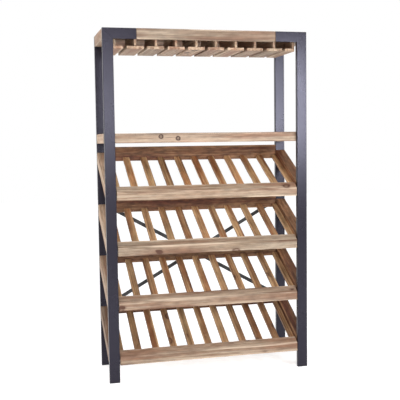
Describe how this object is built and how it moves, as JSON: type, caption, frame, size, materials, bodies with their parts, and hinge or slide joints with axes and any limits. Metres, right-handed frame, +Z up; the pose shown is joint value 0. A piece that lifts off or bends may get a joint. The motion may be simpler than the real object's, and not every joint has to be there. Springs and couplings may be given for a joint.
{
  "type": "wine rack",
  "caption": "Free-standing wine rack with two steel portals, sloping slatted bottle trays, a flat shelf, a stemware rack under the top and a cross-brace behind.",
  "frame": {"origin": "on the floor, in the middle of the rack's footprint", "axes": "+Z up, -Y towards the person who takes a bottle, +X to that person's right"},
  "size_m": [1.2, 0.41, 2],
  "materials": {
    "graphite_steel": "graphite powder coat, satin",
    "black_steel": "black powder coat, satin",
    "zinc_steel": "zinc plated",
    "dowel_steel": "plain",
    "black_plastic": "matt moulded",
    "rustic_wood": "brushed and waxed recycled softwood"
  },
  "bodies": {
    "root": {"arm_front_left": "graphite_steel", "arm_front_right": "graphite_steel", "arm_rear_left": "graphite_steel", "arm_rear_right": "graphite_steel", "beam_screws": "zinc_steel", "brace_bar_falling": "black_steel", "brace_bar_rising": "black_steel", "brace_bolts": "zinc_steel", "brace_spacers": "zinc_steel", "dowels": "dowel_steel", "foot_glides": "black_plastic", "shelf_end_board_left": "rustic_wood", "shelf_end_board_right": "rustic_wood", "shelf_front_board": "rustic_wood", "shelf_plank_1": "rustic_wood", "shelf_plank_2": "rustic_wood", "shelf_plank_3": "rustic_wood", "shelf_rear_board": "rustic_wood", "stem_flange_01": "rustic_wood", "stem_flange_02": "rustic_wood", "stem_flange_03": "rustic_wood", "stem_flange_04": "rustic_wood", "stem_flange_05": "rustic_wood", "stem_flange_06": "rustic_wood", "stem_flange_07": "rustic_wood", "stem_flange_08": "rustic_wood", "stem_flange_09": "rustic_wood", "stem_flange_10": "rustic_wood", "stem_webs": "rustic_wood", "top_insert_front": "rustic_wood", "top_insert_rear": "rustic_wood", "top_plank_1": "rustic_wood", "top_plank_2": "rustic_wood", "top_plank_3": "rustic_wood", "top_side_rail_left": "rustic_wood", "top_side_rail_right": "rustic_wood", "tray_1_front_rail": "rustic_wood", "tray_1_rear_rail": "rustic_wood", "tray_1_side_beam_left": "rustic_wood", "tray_1_side_beam_right": "rustic_wood", "tray_1_slats": "rustic_wood", "tray_2_front_rail": "rustic_wood", "tray_2_rear_rail": "rustic_wood", "tray_2_side_beam_left": "rustic_wood", "tray_2_side_beam_right": "rustic_wood", "tray_2_slats": "rustic_wood", "tray_3_front_rail": "rustic_wood", "tray_3_rear_rail": "rustic_wood", "tray_3_side_beam_left": "rustic_wood", "tray_3_side_beam_right": "rustic_wood", "tray_3_slats": "rustic_wood", "tray_4_front_rail": "rustic_wood", "tray_4_rear_rail": "rustic_wood", "tray_4_side_beam_left": "rustic_wood", "tray_4_side_beam_right": "rustic_wood", "tray_4_slats": "rustic_wood", "upright_front_left": "graphite_steel", "upright_front_right": "graphite_steel", "upright_rear_left": "graphite_steel", "upright_rear_right": "graphite_steel"}
  },
  "joints": []
}
